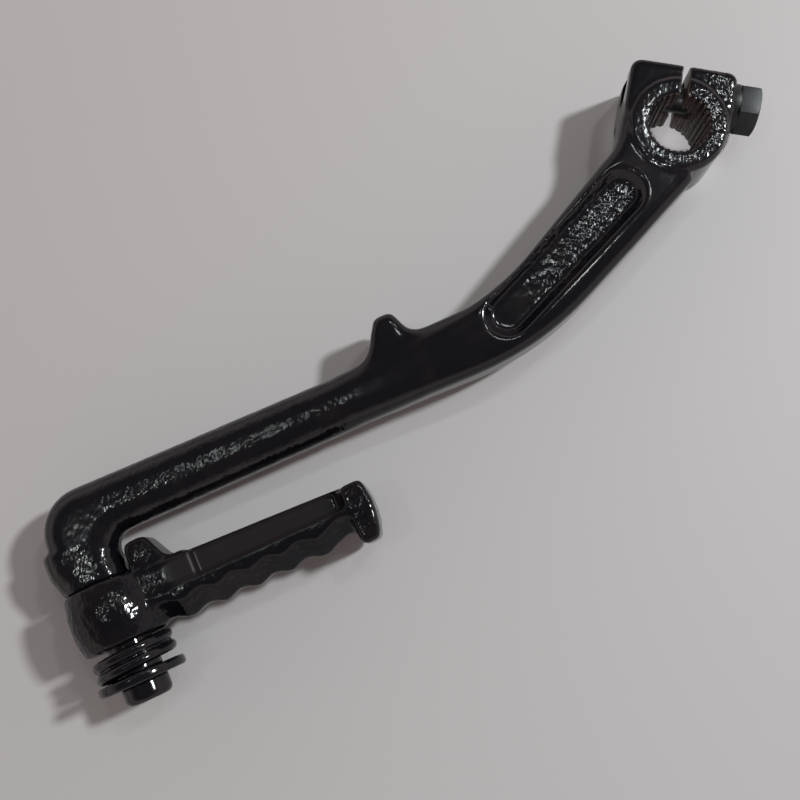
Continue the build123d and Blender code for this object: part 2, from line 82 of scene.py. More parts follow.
def tint(name, description, default):
    """A colour that a user may change."""
    return FloatVectorProperty(
        name=name, description=description, default=default, size=3, subtype="COLOR", min=0.0, max=1.0
    )


def amount(name, description, default):
    """A plain number that a user may change."""
    return FloatProperty(name=name, description=description, default=default, precision=4)


def count(name, description, default):
    """A whole number that a user may change."""
    return IntProperty(name=name, description=description, default=default)


class ForgingSettings(bpy.types.PropertyGroup):
    """How the die-forged pieces are softened and roughened."""

    arm_grain: size("Arm grain", "Mesh spacing on the arm", 0.45)
    pedal_grain: size("Pedal grain", "Mesh spacing on the foot pedal", 0.34)
    pivot_grain: size("Pivot grain", "Mesh spacing on the pivot pin, washer and spring", 0.26)
    softening: count("Softening", "Passes that round off the arm's edges", 9)
    pedal_softening: count("Pedal softening", "Passes that round off the pedal's edges", 10)
    pivot_softening: count("Pivot softening", "Passes that round off the pivot set's edges", 3)
    blend_passes: count("Blend passes", "Passes that run the nub and the pedal's parts out", 70)
    skin_size: size("Skin size", "Width of the dents in the forged skin", 2.4)
    skin_depth: size("Skin depth", "Depth of the dents in the forged skin", 0.22)
    even_share: amount("Even share", "Depth of the dents where the skin is even, as a share", 0.14)


class ClampSettings(bpy.types.PropertyGroup):
    """The machined bore, slit and bolt holes of the clamp."""

    tip_radius: size("Tip radius", "Radius of the bore at the tips of its splines", BORE["r_mm"])
    root_radius: size("Root radius", "Radius of the bore at the roots of its splines", 7.95)
    spline_count: count("Splines", "Number of splines round the bore", 30)
    lead_in: size("Lead-in", "Width of the chamfer outside the roots, at both ends of the bore", 0.25)
    height: size("Boss height", "Height of the boss", BORE["length_mm"])
    slit_width: size("Slit width", "Width of the slit between the ears", 1.8)
    slit_turn: FloatProperty(
        name="Slit turn", description="Direction of the slit from the bore",
        default=radians(55.2), subtype="ANGLE",
    )
    bolt_offset: size("Bolt offset", "Distance from the bore's middle to the bolt's", 10.8)
    bolt_hole: size("Bolt hole", "Radius of the clearance hole under the bolt's head", 4.3)
    thread_hole: size("Thread hole", "Radius of the threaded hole", 4.0)


class PaintSettings(bpy.types.PropertyGroup):
    """The paint and the blackened fasteners."""

    black: tint("Black", "Paint where it lies thick", (0.0036, 0.0037, 0.0054))
    brown: tint("Brown", "Paint where it lies thin or dull", (0.0085, 0.0066, 0.0072))
    # Bare steel colour; where its mark is stronger on the bore's +X wall it also stands for painted
    # light
    bare_and_lit: tint("Bare", "Stained steel where paint hardly reached", (0.06, 0.04, 0.036))
    bolt: tint("Bolt", "Blackened steel of the bolt", (0.0105, 0.0125, 0.013))
    washer: tint("Washer", "Blackened steel of the lock washer", (0.006, 0.0065, 0.007))
    gloss: amount("Gloss", "Roughness of the even paint", 0.09)
    shine: amount("Shine", "Specular level of the paint on the arm and the pivot set", 0.32)
    pedal_shine: amount("Pedal shine", "Specular level of the paint on the pedal", 0.22)
    arm_relief: size("Arm relief", "Depth of the paint's relief on the arm", 0.18)
    pedal_relief: size("Pedal relief", "Depth of the paint's relief on the pedal", 0.17)
    pivot_relief: size("Pivot relief", "Depth of the paint's relief on the pivot set", 0.12)


class StageSettings(bpy.types.PropertyGroup):
    """Floor, lamps and camera."""

    # The two floor colours make a painted gradient of light: warmer and darker on the bar's side,
    # lighter and cooler on the pedal's
    floor: tint("Floor", "Colour of the floor on the bar's side", (0.456, 0.439, 0.438))
    painted_light_floor: tint("Near floor", "Colour of the floor on the pedal's side", (0.484, 0.482, 0.484))
    lens: FloatProperty(
        name="Lens", description="Focal length of the camera", default=42.75, subtype="DISTANCE_CAMERA"
    )
    room: tint("Room", "Colour of the light from all round", (1.0, 0.855, 0.835))
    horizon: amount("Horizon", "Strength of the light from low down, all round", 0.83)
    zenith: amount("Zenith", "Strength of the light from the ceiling", 0.15)
    window: amount("Window", "Power of the lamp at the side, in watts", 19.5)
    window_tint: tint("Window tint", "Colour of the lamp at the side", (0.96, 0.99, 1.0))
    strip: amount("Strip", "Brightness of the strip lamps overhead", 12.0)
    strip_tint: tint("Strip tint", "Colour of the strip lamps overhead", (0.93, 1.0, 0.985))
    bore: amount("Bore", "Power of the narrow lamp that looks into the bore, in watts", 16.0)


class LeverSettings(bpy.types.PropertyGroup):
    """Everything that a user may change."""

    forging: PointerProperty(type=ForgingSettings)
    clamp: PointerProperty(type=ClampSettings)
    paint: PointerProperty(type=PaintSettings)
    stage: PointerProperty(type=StageSettings)


class Wire:
    """A shader socket that adds Math nodes where it stands in an expression."""

    def __init__(self, finish, socket):
        self.finish = finish
        self.socket = socket

    def maths(self, operation, other):
        """Adds a Math node for this socket and another value."""
        return self.finish.node("ShaderNodeMath", {"operation": operation}, {0: self, 1: other})

    def __add__(self, other):
        return self.maths("ADD", other)

    __radd__ = __add__

    def __mul__(self, other):
        return self.maths("MULTIPLY", other)

    __rmul__ = __mul__

    def most(self, other):
        """The larger of two values."""
        return self.maths("MAXIMUM", other)


class Finish:
    """The nodes of a material, or of the world, in the making."""

    # Sockets of a Mix node that mixes colours
    MIX_SHARE, MIX_FIRST, MIX_SECOND, MIX_COLOUR = 0, 6, 7, 2

    def __init__(self, owner):
        owner.use_nodes = True
        self.owner = owner
        self.tree = owner.node_tree
        self.tree.nodes.clear()

    def node(self, kind, options, sockets, out=0):
        """Adds a node, sets it up, fills its sockets and gives one of its outputs, if it has any."""
        made = self.tree.nodes.new(kind)
        for name, value in options.items():
            setattr(made, name, value)
        for name, value in sockets.items():
            if isinstance(value, Wire):
                self.tree.links.new(value.socket, made.inputs[name])
            else:
                made.inputs[name].default_value = value
        return Wire(self, made.outputs[out]) if made.outputs else None

    def place(self):
        """Coordinates on the piece, in metres."""
        return self.node("ShaderNodeTexCoord", {}, {}, "Object")

    def noise(self, where, width, detail, rough):
        """Noise whose patches are about as wide as the width, in millimetres."""
        sockets = {"Vector": where, "Scale": 1 / (width * MM), "Detail": detail, "Roughness": rough}
        return self.node("ShaderNodeTexNoise", {}, sockets, "Fac")

    def rise(self, value, span):
        """0 below a span and 1 above it, with a soft change across it."""
        sockets = {"Value": value, "From Min": span[0], "From Max": span[1]}
        return self.node("ShaderNodeMapRange", {"interpolation_type": "SMOOTHSTEP"}, sockets)

    def mix(self, share, first, second):
        """A colour between two plain or wired ones."""
        first, second = (c if isinstance(c, Wire) else (*c, 1.0) for c in (first, second))
        sockets = {self.MIX_SHARE: share, self.MIX_FIRST: first, self.MIX_SECOND: second}
        return self.node("ShaderNodeMix", {"data_type": "RGBA"}, sockets, self.MIX_COLOUR)

    def mark(self, name):
        """A mark that the piece's mesh carries, from 0 to 1, and 0 where it carries none."""
        return self.node("ShaderNodeAttribute", {"attribute_name": name}, {}, "Fac")

    def stretched(self, where, turn, share):
        """Coordinates in which a pattern is drawn out along a direction in the XY plane."""
        sockets = {"Vector": where, "Rotation": (0, 0, turn), "Scale": (share, 1, 1)}
        return self.node("ShaderNodeMapping", {"vector_type": "TEXTURE"}, sockets)

    def bump(self, height, depth):
        """A normal that shows a height between 0 and 1 as relief of that depth in metres."""
        sockets = {"Height": height, "Distance": depth, "Strength": 1.0}
        return self.node("ShaderNodeBump", {}, sockets)

    def close(self, kind, output, sockets):
        """Ends the nodes with a shader and its output, and gives their owner."""
        self.node(output, {}, {"Surface": self.node(kind, {}, sockets)})
        return self.owner

    def paint(self, **sockets):
        """Ends a material with a Principled shader; a socket is named by its words in lower case."""
        named = {}
        for words, value in sockets.items():
            named[words.replace("_", " ").title().replace("Ior", "IOR")] = value
        return self.close("ShaderNodeBsdfPrincipled", "ShaderNodeOutputMaterial", named)


def settings():
    """The settings on the scene."""
    return bpy.context.scene.kick_lever


def choose(*pieces):
    """Selects these objects only, with the first one active."""
    bpy.ops.object.select_all(action="DESELECT")
    for piece in pieces:
        piece.select_set(True)
    bpy.context.view_layer.objects.active = pieces[0]


def modify(piece, kind, **values):
    """Adds a modifier to a piece and applies it."""
    choose(piece)
    bpy.ops.object.modifier_add(type=kind)
    modifier = piece.modifiers[-1]
    for name, value in values.items():
        setattr(modifier, name, value)
    bpy.ops.object.modifier_apply(modifier=modifier.name)


def copy_node(node, name):
    """A merged copy of a node's mesh, as a piece of its own."""
    mesh = frame["nodes"][node].data.copy()
    mesh.name = name
    mesh.materials.clear()
    piece = bpy.data.objects.new(name, mesh)
    bpy.context.scene.collection.objects.link(piece)
    choose(piece)
    bpy.ops.mesh.customdata_custom_splitnormals_clear()
    bpy.ops.object.mode_set(mode="EDIT")
    bpy.ops.mesh.select_all(action="SELECT")
    bpy.ops.mesh.remove_doubles(threshold=MERGE_DISTANCE * MM)
    bpy.ops.object.mode_set(mode="OBJECT")
    return piece


def settle(name):
    """Names the primitive that was just added and puts its place, turn and size into its mesh."""
    made = bpy.context.object
    made.name = name
    bpy.ops.object.transform_apply(location=True, rotation=True, scale=True)
    return made


def rod(name, radius, foot, head, sides=ROUND_SIDES):
    """A round rod between two places."""
    run = head - foot
    turn = UP.rotation_difference(run).to_euler()
    bpy.ops.object.select_all(action="DESELECT")
    bpy.ops.mesh.primitive_cylinder_add(
        vertices=sides, radius=radius, depth=run.length, location=(foot + head) / 2, rotation=turn
    )
    return settle(name)


def cone(name, middle, foot_radius, head_radius, height):
    """A blunt upright cone."""
    bpy.ops.object.select_all(action="DESELECT")
    bpy.ops.mesh.primitive_cone_add(
        vertices=ROUND_SIDES, radius1=foot_radius, radius2=head_radius, depth=height, location=middle
    )
    return settle(name)


def slit_direction():
    """The direction from the bore out along the slit."""
    turn = settings().clamp.slit_turn
    return Vector((cos(turn), sin(turn), 0))


def bolt_direction():
    """The direction along the bolt, towards its head."""
    out = slit_direction()
    return Vector((out.y, -out.x, 0))


def bolt_middle():
    """The place where the bolt crosses the slit."""
    clamp = settings().clamp
    return slit_direction() * clamp.bolt_offset + UP * clamp.height / 2


def slit_block(name, width, reach, height):
    """A block that runs from the bore's axis out along the slit."""
    out = slit_direction()
    middle = out * reach / 2 + UP * settings().clamp.height / 2
    turn = (0, 0, atan2(-out.x, out.y))
    bpy.ops.object.select_all(action="DESELECT")
    bpy.ops.mesh.primitive_cube_add(
        size=1.0, location=middle, rotation=turn, scale=(width, reach, height)
    )
    return settle(name)


def join(piece, *fillers):
    """Joins fillers into a piece."""
    choose(piece, *fillers)
    bpy.ops.object.join()


def cut(piece, cutter):
    """Cuts a cutter's shape out of a piece."""
    modify(piece, "BOOLEAN", operation="DIFFERENCE", object=cutter, solver="EXACT")
    bpy.data.objects.remove(cutter)


def rise(values, span):
    """0 below a span and 1 above it, with a soft change across it."""
    low, high = span
    share = np.clip((values - low) / (high - low), 0, 1)
    return share * share * (3 - 2 * share)


def fall(values, span):
    """1 below a span and 0 above it, with a soft change across it."""
    return 1 - rise(values, span)


def at_least(low, mask):
    """A mask, of an array or a wire, raised so that it is nowhere under the low value."""
    return low + (1 - low) * mask


def places(piece):
    """The places of a piece's vertices in millimetres, as three rows."""
    flat = np.empty(3 * len(piece.data.vertices))
    piece.data.vertices.foreach_get("co", flat)
    return flat.reshape(-1, 3).T / MM


def mark(piece, name, values):
    """Keeps a value for each vertex on a piece's mesh, for its material."""
    kept = piece.data.attributes.new(name, "FLOAT", "POINT")
    kept.data.foreach_set("value", values.astype(np.float32))


def weigh(piece, name, values):
    """A group of a piece's vertices, each with its own weight."""
    group = piece.vertex_groups.new(name=name)
    for number, value in enumerate(values):
        group.add([number], float(value), "REPLACE")
    return group.name


def forge(piece, grain, softening, skin=None, blend=None):
    """Rounds a piece's edges and dents its skin, as a forging die and thick paint leave them."""
    forging = settings().forging
    modify(piece, "REMESH", mode="VOXEL", voxel_size=grain, adaptivity=0.0)
    modify(piece, "SMOOTH", factor=SMOOTH_FACTOR, iterations=softening)
    if blend is not None:
        blended = weigh(piece, "blended", blend(*places(piece)))
        modify(
            piece, "SMOOTH", factor=SMOOTH_FACTOR, iterations=forging.blend_passes, vertex_group=blended
        )
    if skin is None:
        return
    dents = weigh(piece, "dents", at_least(forging.even_share, skin(*places(piece))))
    texture = bpy.data.textures.new("forged_skin", "CLOUDS")
    texture.noise_scale = forging.skin_size
    texture.noise_depth = 1
    # A middle level of 1 lets the dents go inwards only
    modify(
        piece, "DISPLACE", texture=texture, texture_coords="LOCAL", direction="NORMAL",
        strength=forging.skin_depth, mid_level=1.0, vertex_group=dents,
    )


def finish_piece(piece, material, body, slot, *nodes):
    """Gives a piece its shading, material and body, and hides the CAD nodes it stands for. The slot is
    not used.
    """
    choose(piece)
    bpy.ops.object.shade_smooth_by_angle(angle=SMOOTH_ANGLE)
    piece.data.materials.clear()
    piece.data.materials.append(material)
    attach(piece, body)
    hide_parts(*nodes)


# The paint's relief, as shares of its depth, and what each mark adds to its roughness
GRAIN_TURN = radians(66)
GRAIN_STRETCH = 1.4
EVEN_DIPS = 0.03
SWELL_RELIEF = 0.25
FINE_RELIEF = 0.004
BARE_RELIEF = 0.3
THIN_PAINT = (0.48, 0.72)
SKIN_ROUGHNESS = 0.02
CLOUD_ROUGHNESS = 0.05
BARE_ROUGHNESS = 0.4
DULL_ROUGHNESS = 0.32


def black_paint(name, relief, shine):
    """Gloss black paint over a forged skin: it dips where the skin is rough and lies even elsewhere."""
    paint = settings().paint
    finish = Finish(bpy.data.materials.new(name))
    where = finish.place()
    skin, bare_and_lit, dull = (finish.mark(kind) for kind in ("skin", "bare_and_lit", "dull"))
    grain = finish.stretched(where, GRAIN_TURN, GRAIN_STRETCH)
    dips = finish.noise(grain, width=0.95, detail=0.5, rough=0.4)
    swell = finish.noise(where, width=4.0, detail=1.0, rough=0.4)
    fine = finish.noise(where, width=0.3, detail=2.0, rough=0.6)
    height = (
        dips * at_least(EVEN_DIPS, skin)
        + swell * SWELL_RELIEF
        + fine * (FINE_RELIEF + bare_and_lit * BARE_RELIEF)
    )
    thin = finish.rise(finish.noise(where, width=9.0, detail=4.0, rough=0.6), THIN_PAINT)
    colour = finish.mix(thin.most(dull), paint.black, paint.brown)
    clouds = finish.noise(where, width=6.0, detail=2.0, rough=0.5)
    roughness = (
        paint.gloss
        + skin * SKIN_ROUGHNESS
        + clouds * CLOUD_ROUGHNESS
        + bare_and_lit * BARE_ROUGHNESS
        + dull * DULL_ROUGHNESS
    )
    return finish.paint(
        # The paint turns to bare steel where the bare mark lies; on the bore's +X wall that mark is
        # partly painted light
        base_color=finish.mix(bare_and_lit, colour, paint.bare_and_lit),
        roughness=roughness,
        specular_ior_level=shine,
        normal=finish.bump(height, relief),
    )


# The stains of blackened steel
STAINS = (0.35, 0.7)
STAIN_LIGHT = 1.9
STEEL_ROUGHNESS = 0.34
STAIN_ROUGHNESS = 0.2
STEEL_RELIEF = 0.03


def blackened_steel(name, dark):
    """Blackened steel, satin, with cloudy stains."""
    finish = Finish(bpy.data.materials.new(name))
    where = finish.place()
    clouds = finish.noise(where, width=4.0, detail=4.0, rough=0.6)
    fine = finish.noise(where, width=0.5, detail=3.0, rough=0.6)
    light = tuple(STAIN_LIGHT * c for c in dark)
    return finish.paint(
        base_color=finish.mix(finish.rise(clouds, STAINS), dark, light),
        metallic=0.35,
        roughness=STEEL_ROUGHNESS + clouds * STAIN_ROUGHNESS,
        normal=finish.bump(fine, STEEL_RELIEF * MM),
    )


# Where the arm's skin changes: places and spans in the frame's axes, which start at the bore
RING_RIM = (12.0, 12.6)
RING_SIDE = (0.48, -0.87)
RING_SIDE_SPAN = (-4.0, 3.0)
EAR_FACE = (3.0, 6.0)
EAR_FOOT = (4.0, 7.0)
POCKET_FOOT = (-59.5, -26.2)
POCKET_TURN = radians(22.8)
POCKET_WALL = (4.4, 5.8)
POCKET_START = (4.0, 18.0)
POCKET_END = (44.0, 47.0)
BAR_START = (-174.0, -164.0)
BAR_END = (-108.0, -98.0)
HEAD_END = (-170.0, -160.0)
HEAD_TOP = (-37.0, -33.0)

# Spans of the nub's run-out, and of the walls that are hardly painted; the bore's span makes its +X
# wall browner, as painted light
NUB_FOOT = (-28.0, -24.0)
NUB_TOP = (-18.5, -16.0)
NUB_START = (-104.0, -100.0)
NUB_END = (-74.0, -66.0)
BORE_WALL = (8.1, 8.5)
BORE_FOOT = (0.2, 0.8)
BORE_TOP = tuple(BORE["length_mm"] - z for z in reversed(BORE_FOOT))
BORE_LIT_SPAN = (-3.0, 4.0)
SLIT_WALL = (1.0, 1.3)
SLIT_START = (6.0, 7.0)

# How strong the arm's marks are, as shares; a mark's even side keeps some of it. The bore's far wall
# keeps only a share of its bare colour, as painted shade
EVEN_SIDE = 0.3
EAR_SKIN = 0.9
BAR_SKIN = 0.5
HEAD_SKIN = 0.55
BORE_SHADE_SHARE = 0.25
SLIT_BARE = 0.6


def arm_skin(x, y, z):
    """Where the arm's skin is rough: the ring, the bolt's ear, the pockets, the bar and the head."""
    along, out = bolt_direction(), slit_direction()
    sideways = RING_SIDE[0] * x + RING_SIDE[1] * y
    ring = fall(np.hypot(x, y), RING_RIM) * at_least(EVEN_SIDE, rise(sideways, RING_SIDE_SPAN))
    ear = rise(along.x * x + along.y * y, EAR_FACE) * rise(out.x * x + out.y * y, EAR_FOOT)
    right, forward = x - POCKET_FOOT[0], y - POCKET_FOOT[1]
    run = right * cos(POCKET_TURN) + forward * sin(POCKET_TURN)
    across = np.abs(forward * cos(POCKET_TURN) - right * sin(POCKET_TURN))
    pocket = fall(across, POCKET_WALL) * rise(run, POCKET_START) * fall(run, POCKET_END)
    bar = fall(x, BAR_END) * at_least(EVEN_SIDE, rise(x, BAR_START))
    head = fall(x, HEAD_END) * fall(y, HEAD_TOP)
    return np.max([ring, EAR_SKIN * ear, pocket, BAR_SKIN * bar, HEAD_SKIN * head], axis=0)


def nub_blend(x, y, z):
    """Where the stop nub runs out into the elbow."""
    return rise(y, NUB_FOOT) * fall(y, NUB_TOP) * rise(x, NUB_START) * fall(x, NUB_END)


def arm_bare_and_lit(x, y, z):
    """Where the arm's steel is hardly painted: the walls of the bore and of the slit. On the bore the
    mark is full on the +X wall and weak on the far wall, as painted light and painted shade.
    """
    along, out = bolt_direction(), slit_direction()
    wall = fall(np.hypot(x, y), BORE_WALL) * rise(z, BORE_FOOT) * fall(z, BORE_TOP)
    # Bare steel on the bore's wall, full towards +X and weak on the far side: painted light and painted
    # shade
    bore = wall * at_least(BORE_SHADE_SHARE, rise(x, BORE_LIT_SPAN))
    aside = np.abs(along.x * x + along.y * y)
    slit = fall(aside, SLIT_WALL) * rise(out.x * x + out.y * y, SLIT_START)
    return np.maximum(bore, SLIT_BARE * slit)


# Spans over which the pedal's run-outs, skin and gloss change
HUB_BLEND_START = (-176.0, -168.0)
HUB_BLEND_END = (-165.0, -159.0)
TREAD_BLEND = (-55.0, -53.0)
FLANGE_BLEND_START = (-120.0, -116.0)
FLANGE_BLEND_FOOT = (-56.0, -53.0)
HUB_END = (-166.0, -160.0)
TREAD_TOP = (-55.0, -53.6)
FLANGE_START = (-116.5, -114.0)
WEB_START = (-163.0, -158.0)
WEB_END = (-121.0, -117.0)
WEB_FOOT = (-54.2, -53.4)

# How strong the pedal's marks are, as shares
TREAD_RUN_OUT = 0.3
FLANGE_RUN_OUT = 0.3
TREAD_SKIN = 0.5
FLANGE_SKIN = 0.7


def pedal_blend(x, y, z):
    """Where the pedal's parts run into each other: the hub, the tread and the flange's foot."""
    hub = rise(x, HUB_BLEND_START) * fall(x, HUB_BLEND_END)
    tread = TREAD_RUN_OUT * fall(y, TREAD_BLEND)
    flange = rise(x, FLANGE_BLEND_START) * at_least(FLANGE_RUN_OUT, fall(y, FLANGE_BLEND_FOOT))
    return np.max([hub, tread, flange], axis=0)


def pedal_skin(x, y, z):
    """Where the pedal's skin is rough: the hub, the lug, the tread's flanks and the flange."""
    hub = fall(x, HUB_END)
    tread = TREAD_SKIN * fall(y, TREAD_TOP)
    flange = FLANGE_SKIN * rise(x, FLANGE_START)
    return np.max([hub, tread, flange], axis=0)


def pedal_dull(x, y, z):
    """Where the pedal's paint is dull: the web and the neck."""
    return rise(x, WEB_START) * fall(x, WEB_END) * rise(y, WEB_FOOT)


# Fillers of the openings: grips into the metal, recesses under its faces, runs from the bolt's middle
PLUG_GRIP = 0.6
PLUG_RECESS = 0.3
FILLER_GRIP = 0.6
FILLER_RUN = 4.6
FILLER_RECESS = 2.4
DOWEL_GRIP = 0.1
THREAD_DOWEL = 13.5
HEAD_DOWEL = 11.0

# Cutters of the openings: spare past the boss's faces, runs from the bolt's middle
FACETS_PER_SPLINE = 4
CUT_SPARE = 3
SAW_RUN = 9
DRILL_RUN = 18
DRILL_OVERLAP = 0.2


class KICKLEVER_OT_kick_arm(bpy.types.Operator):
    """Model the forged arm with its machined clamp"""

    bl_idname = "kick_lever.kick_arm"
    bl_label = "Kick Arm"

    def execute(self, context):
        forging, paint = settings().forging, settings().paint
        arm = copy_node("kick_arm", "forged_arm")
        self.fill(arm)
        forge(arm, forging.arm_grain, forging.softening, arm_skin, nub_blend)
        self.broach(arm)
        self.drill(arm)
        mark(arm, "skin", arm_skin(*places(arm)))
        # This mark is bare steel on the slit and the bore, with painted light on the bore's +X wall
        mark(arm, "bare_and_lit", arm_bare_and_lit(*places(arm)))
        material = black_paint("arm_paint", paint.arm_relief, paint.shine)
        finish_piece(arm, material, "arm", "black_paint", "kick_arm")
        return {"FINISHED"}

    def fill(self, arm):
        """Fills the machined openings, so that softening the forging leaves them alone."""
        clamp = settings().clamp
        along, bolt = bolt_direction(), bolt_middle()
        plug_ends = UP * PLUG_RECESS * MM, UP * (clamp.height - PLUG_RECESS * MM)
        plug = rod("plug", clamp.root_radius + PLUG_GRIP * MM, *plug_ends)
        filler = slit_block(
            "filler", clamp.slit_width + FILLER_GRIP * MM,
            clamp.bolt_offset + FILLER_RUN * MM, clamp.height - FILLER_RECESS * MM,
        )
        thread_end = bolt - along * THREAD_DOWEL * MM
        thread_dowel = rod("thread_dowel", clamp.thread_hole + DOWEL_GRIP * MM, thread_end, bolt)
        head_end = bolt + along * HEAD_DOWEL * MM
        head_dowel = rod("head_dowel", clamp.bolt_hole + DOWEL_GRIP * MM, bolt, head_end)
        join(arm, plug, filler, thread_dowel, head_dowel)

    def broach(self, arm):
        """Cuts the splined bore and the lead-in at both its ends."""
        clamp = settings().clamp
        spare = CUT_SPARE * MM
        sides = FACETS_PER_SPLINE * clamp.spline_count
        tool = rod("broach", clamp.root_radius, UP * -spare, UP * (clamp.height + spare), sides)
        choose(tool)
        bpy.ops.object.mode_set(mode="EDIT")
        bpy.ops.mesh.select_all(action="DESELECT")
        bpy.ops.object.mode_set(mode="OBJECT")
        for vertex in tool.data.vertices:
            number = round(atan2(vertex.co.y, vertex.co.x) / (2 * pi) * sides)
            vertex.select = number % FACETS_PER_SPLINE >= FACETS_PER_SPLINE // 2
        bpy.ops.object.mode_set(mode="EDIT")
        share = clamp.tip_radius / clamp.root_radius
        bpy.ops.transform.resize(value=(share, share, 1), center_override=(0, 0, 0))
        bpy.ops.object.mode_set(mode="OBJECT")
        cut(arm, tool)
        depth = clamp.root_radius + clamp.lead_in - clamp.tip_radius
        narrow, wide = clamp.tip_radius, clamp.tip_radius + 2 * depth
        cut(arm, cone("lower_lead", UP * 0, wide, narrow, 2 * depth))
        cut(arm, cone("upper_lead", UP * clamp.height, narrow, wide, 2 * depth))

    def drill(self, arm):
        """Cuts the slit and the bolt's two holes."""
        clamp = settings().clamp
        along, bolt = bolt_direction(), bolt_middle()
        spare = CUT_SPARE * MM
        reach = clamp.bolt_offset + SAW_RUN * MM
        cut(arm, slit_block("saw", clamp.slit_width, reach, clamp.height + 2 * spare))
        tap_ends = bolt - along * DRILL_RUN * MM, bolt + along * DRILL_OVERLAP * MM
        cut(arm, rod("tap_drill", clamp.thread_hole, *tap_ends))
        cut(arm, rod("drill", clamp.bolt_hole, bolt, bolt + along * DRILL_RUN * MM))


# The reamer that opens the hub for its pin
REAMER_RADIUS = 5.68
REAMER_SPARE = 2


class KICKLEVER_OT_foot_pedal(bpy.types.Operator):
    """Model the forged foot pedal on its hub"""

    bl_idname = "kick_lever.foot_pedal"
    bl_label = "Foot Pedal"

    def execute(self, context):
        forging, paint = settings().forging, settings().paint
        low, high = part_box("end_washer")
        pivot = (low + high) / 2
        low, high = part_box("foot_pedal")
        pedal = copy_node("foot_pedal", "forged_pedal")
        forge(pedal, forging.pedal_grain, forging.pedal_softening, pedal_skin, pedal_blend)
        spare = REAMER_SPARE * MM
        ends = [Vector((pivot.x, y, pivot.z)) for y in (low.y - spare, high.y + spare)]
        cut(pedal, rod("reamer", REAMER_RADIUS * MM, *ends))
        mark(pedal, "skin", pedal_skin(*places(pedal)))
        mark(pedal, "dull", pedal_dull(*places(pedal)))
        material = black_paint("pedal_paint", paint.pedal_relief, paint.pedal_shine)
        finish_piece(pedal, material, "pedal", "black_paint", "foot_pedal")
        return {"FINISHED"}


class KICKLEVER_OT_pivot_set(bpy.types.Operator):
    """Model the pivot pin, the end washer and the pedal spring"""

    bl_idname = "kick_lever.pivot_set"
    bl_label = "Pivot Set"

    def execute(self, context):
        forging, paint = settings().forging, settings().paint
        material = black_paint("pivot_paint", paint.pivot_relief, paint.shine)
        for node, name in (
            ("pivot_pin", "upset_pin"),
            ("end_washer", "pivot_washer"),
            ("pedal_spring", "coil_spring"),
        ):
            piece = copy_node(node, name)
            forge(piece, forging.pivot_grain, forging.pivot_softening)
            finish_piece(piece, material, "arm", "black_paint", node)
        return {"FINISHED"}


# Edges of the bolt and its washer
FLAT_ANGLE = radians(2)
EDGE_ANGLE = radians(25)
EDGE_WIDTH = 0.18


class KICKLEVER_OT_pinch_bolt(bpy.types.Operator):
    """Model the pinch bolt and its lock washer"""

    bl_idname = "kick_lever.pinch_bolt"
    bl_label = "Pinch Bolt"

    def execute(self, context):
        paint = settings().paint
        for node, name, dark in (
            ("pinch_bolt", "hexagon_bolt", paint.bolt),
            ("lock_washer", "split_washer", paint.washer),
        ):
            material = blackened_steel(name + "_steel", dark)
            piece = copy_node(node, name)
            modify(piece, "DECIMATE", decimate_type="DISSOLVE", angle_limit=FLAT_ANGLE)
            modify(
                piece, "BEVEL", width=EDGE_WIDTH * MM, segments=2,
                limit_method="ANGLE", angle_limit=EDGE_ANGLE,
            )
            finish_piece(piece, material, "arm", "blackened_steel", node)
        return {"FINISHED"}


# The stage, in metres, its turns in degrees and its cone in radians; the paint mirrors the strips
FLOOR_SIZE = 40.0
FLOOR_PLACE = (-0.1, -0.03, -0.0001)
# Direction and span of the floor's painted light gradient, lighter and cooler towards the pedal's side
PAINTED_LIGHT_SIDE = (0.35, -0.94, 0.0)
PAINTED_LIGHT_SPAN = (-0.16, 0.2)
MIDDLE = Vector((-0.09, -0.03, 0.01))
WINDOW_SIDE = Vector((0.95, 0.0, 0.95))
WINDOW_DISTANCE = 1.6
WINDOW_SIZES = (0.15, 0.15)
STRIP_HEIGHT = 0.91
STRIPS = {
    "bar_strip": {"place": (-0.265, 0.128), "turn": 0.0, "sizes": (0.19, 0.01), "share": 2.3},
    "head_strip": {"place": (-0.485, 0.045), "turn": 0.0, "sizes": (0.014, 0.022), "share": 30.0},
    "shank_strip": {"place": (0.155, 0.267), "turn": 140.0, "sizes": (0.12, 0.025), "share": 4.2},
    "boss_strip": {"place": (0.47, 0.24), "turn": 26.0, "sizes": (0.07, 0.07), "share": 6.5},
}
BORE_PLACE = Vector((0.0, 0.0, 0.01))
BORE_LAMP_SIDE = Vector((-0.098, -0.071, 0.237))
BORE_LAMP_DISTANCE = 0.6
BORE_LAMP_CONE = 0.04
BORE_LAMP_BLEND = 0.6
BORE_LAMP_RADIUS = 0.01
CEILING_RISE = (0.25, 0.7)
CAMERA_PLACE = (-0.09833, -0.07069, 0.24737)
CAMERA_TURN = (8.678, 2.383, -24.2)
SENSOR_WIDTH = 36.0
CLIP_START = 0.01


